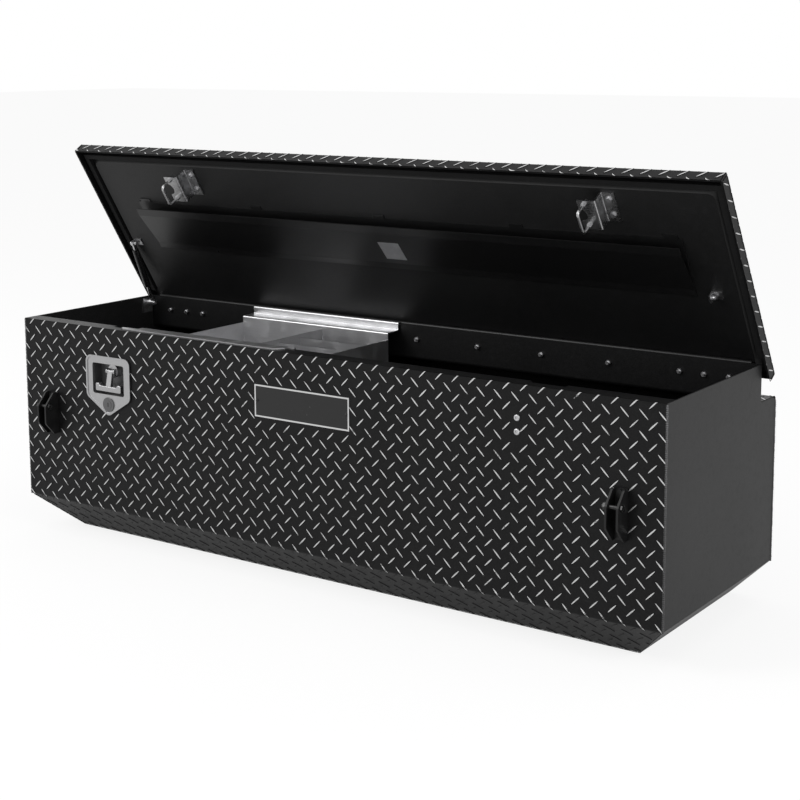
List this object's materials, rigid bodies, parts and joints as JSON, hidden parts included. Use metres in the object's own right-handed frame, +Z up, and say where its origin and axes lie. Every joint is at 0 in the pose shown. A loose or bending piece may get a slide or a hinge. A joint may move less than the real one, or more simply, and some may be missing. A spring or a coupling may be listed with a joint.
{
  "type": "truck bed tool box",
  "caption": "Long black tread-plate tool box with tapered ends and foot, hinged lid on a gas spring, T-handle latch, rod-linked catches, sliding inner tray and side tie-down brackets",
  "frame": {"origin": "centre of the bounding box at the underside of the floor, with the lid open at its stop", "axes": "+X along the length of the box to the right as seen from the front, +Y from front to back, +Z up"},
  "size_m": [1.544, 0.503, 0.8329],
  "materials": {
    "tread_sheet": "black powder coat over tread plate",
    "end_sheet": "satin black powder coat",
    "inner_sheet": "smooth black powder coat",
    "lid_sheet": "black powder coat over tread plate",
    "liner_paint": "smooth black powder coat",
    "seal_rubber": "matte foam rubber",
    "hinge_steel": "stainless, brushed",
    "zinc": "bright zinc",
    "stainless": "stainless, polished",
    "tray_aluminium": "mill finish",
    "name_aluminium": "satin with a black field",
    "label_foil": "plain foil",
    "bracket_paint": "black powder coat",
    "gasket_rubber": "matte",
    "chrome": "polished",
    "spring_black": "gloss black"
  },
  "bodies": {
    "box": {"front_panel": "tread_sheet", "left_end_panel": "end_sheet", "right_end_panel": "end_sheet", "back_lower_panel": "tread_sheet", "back_step_panel": "tread_sheet", "floor_panel": "inner_sheet", "hinge_fixed_leaf": "hinge_steel", "hinge_pin": "hinge_steel", "hinge_wall_bolts": "zinc", "nameplate": "name_aluminium", "nameplate_rivets": "name_aluminium", "latch_dish": "stainless", "latch_gasket": "gasket_rubber", "lock_barrel": "chrome", "latch_housing_left": "zinc", "latch_housing_right": "zinc", "latch_pivots": "zinc", "latch_screws": "zinc", "rod_guides": "bracket_paint", "tie_bracket_left": "bracket_paint", "tie_bracket_right": "bracket_paint", "tie_bolts": "zinc", "tie_screws": "zinc", "spring_low_bracket": "zinc"},
    "lid": {"lid_skin": "lid_sheet", "lid_liner": "liner_paint", "lid_seal": "seal_rubber", "hinge_lid_leaf": "hinge_steel", "hinge_lid_rivets": "zinc", "lid_pocket": "liner_paint", "label_plate": "label_foil", "striker_bracket_left": "stainless", "striker_bracket_right": "stainless", "striker_loop_left": "stainless", "striker_loop_right": "stainless", "striker_nuts": "zinc", "striker_bolts": "zinc", "spring_lid_bracket": "zinc", "lid_stud_bracket": "zinc"},
    "gas_rod": {"spring_rod": "chrome", "spring_rod_end": "zinc"},
    "gas_tube": {"spring_tube": "spring_black", "spring_tube_end": "zinc"},
    "tray": {"tray_shell": "tray_aluminium", "tray_divider": "tray_aluminium", "tray_cross_plates": "tray_aluminium", "tray_rivets": "tray_aluminium"},
    "hub": {"handle_hub": "stainless", "handle_pin": "zinc", "cam_plate": "zinc"},
    "handle": {"t_handle": "stainless"},
    "key": {"key_plug": "chrome"},
    "rod": {"latch_rod": "zinc", "rod_dogs": "zinc", "rod_yoke": "zinc"},
    "left_pawl": {"pawl_left": "zinc"},
    "right_pawl": {"pawl_right": "zinc"},
    "left_rotor": {"rotor_left": "zinc"},
    "right_rotor": {"rotor_right": "zinc"}
  },
  "joints": [
    {"name": "lid_hinge", "type": "hinge", "parent": "box", "child": "lid", "pos_m": [0, 0.1865, 0.4669], "axis": [1, 0, 0], "range_deg": [0, 58]},
    {"name": "gas_spring_swing", "type": "hinge", "parent": "box", "child": "gas_rod", "pos_m": [-0.74, 0.1595, 0.454], "axis": [1, 0, 0], "range_deg": [0, 63.6]},
    {"name": "gas_spring_slide", "type": "slide", "parent": "gas_rod", "child": "gas_tube", "axis": [0, 0.3854, -0.9227], "range_m": [0, 0.0255]},
    {"name": "tray_slide", "type": "slide", "parent": "box", "child": "tray", "axis": [1, 0, 0], "range_m": [0, 0.515]},
    {"name": "handle_turn", "type": "hinge", "parent": "box", "child": "hub", "pos_m": [-0.512, -0.2, 0.376], "axis": [0, 1, 0], "range_deg": [0, 75]},
    {"name": "handle_fold", "type": "hinge", "parent": "hub", "child": "handle", "pos_m": [-0.512, -0.2088, 0.376], "axis": [1, 0, 0], "range_deg": [-90, 0]},
    {"name": "key_turn", "type": "hinge", "parent": "box", "child": "key", "pos_m": [-0.512, -0.2, 0.307], "axis": [0, 1, 0], "range_deg": [0, 90]},
    {"name": "latch_rod_slide", "type": "slide", "parent": "box", "child": "rod", "axis": [1, 0, 0], "range_m": [-0.006, 0]},
    {"name": "left_pawl_turn", "type": "hinge", "parent": "box", "child": "left_pawl", "pos_m": [-0.494, -0.1575, 0.3817], "axis": [0, 1, 0], "range_deg": [0, 24]},
    {"name": "left_rotor_turn", "type": "hinge", "parent": "box", "child": "left_rotor", "pos_m": [-0.494, -0.1575, 0.4107], "axis": [0, 1, 0], "range_deg": [-70, 0], "stiffness_Nm_per_rad": 0.02},
    {"name": "right_pawl_turn", "type": "hinge", "parent": "box", "child": "right_pawl", "pos_m": [0.51, -0.1575, 0.3817], "axis": [0, 1, 0], "range_deg": [0, 24]},
    {"name": "right_rotor_turn", "type": "hinge", "parent": "box", "child": "right_rotor", "pos_m": [0.51, -0.1575, 0.4107], "axis": [0, 1, 0], "range_deg": [-70, 0], "stiffness_Nm_per_rad": 0.02}
  ],
  "couplings": [
    {"joint": "gas_spring_swing", "follows": "lid_hinge", "ratio": 1.0949},
    {"joint": "gas_spring_slide", "follows": "lid_hinge", "m_per_rad": 0.025125},
    {"joint": "handle_fold", "follows": "handle_turn", "ratio": -1.2},
    {"joint": "latch_rod_slide", "follows": "handle_turn", "m_per_rad": -0.004584},
    {"joint": "left_pawl_turn", "follows": "handle_turn", "ratio": 0.32},
    {"joint": "right_pawl_turn", "follows": "handle_turn", "ratio": 0.32}
  ]
}
